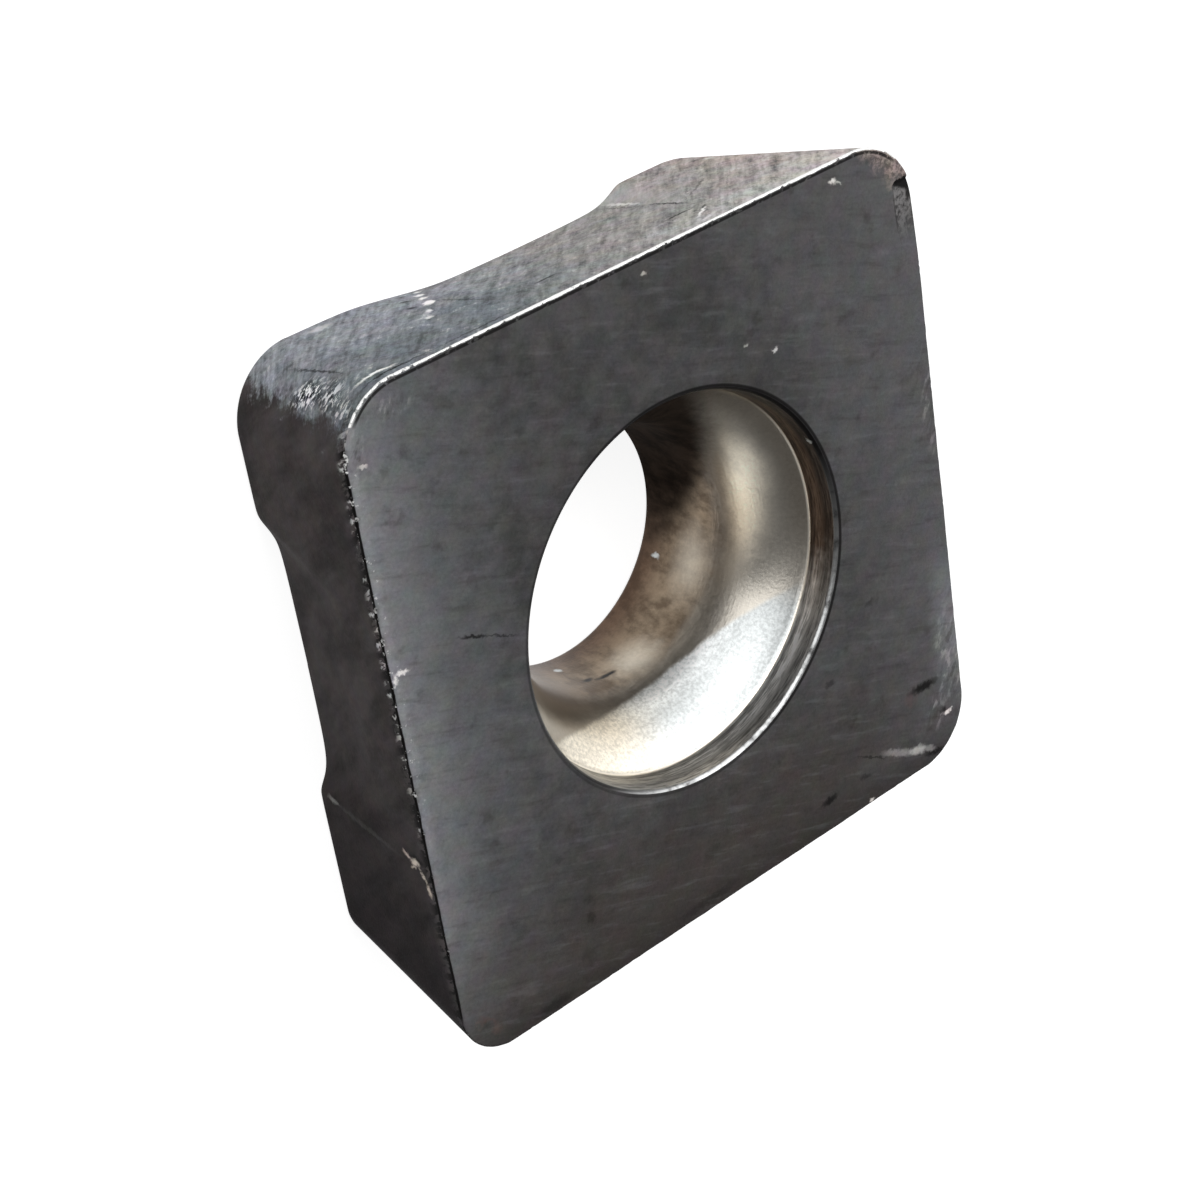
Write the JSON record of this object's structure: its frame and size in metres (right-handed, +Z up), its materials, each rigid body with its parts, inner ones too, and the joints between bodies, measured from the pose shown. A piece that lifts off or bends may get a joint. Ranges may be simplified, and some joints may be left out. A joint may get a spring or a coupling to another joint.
{
  "type": "square indexable cutting insert",
  "caption": "Square positive carbide cutting insert with a flat rake face, recessed flanks, rounded corners and a flared screw hole, worn along its cutting edges.",
  "frame": {"origin": "centre of the seat face, on the axis of the screw hole", "axes": "+Z up the screw hole and out of the rake face; the cutting edges lie along X and Y"},
  "size_m": [0.0126, 0.0126, 0.004],
  "materials": {
    "coated_carbide": "fine matt dark grey coating over cemented carbide, rubbed bright along the cutting edges and bare metal in the hole"
  },
  "bodies": {
    "root": {"insert_body": "coated_carbide"}
  },
  "joints": []
}
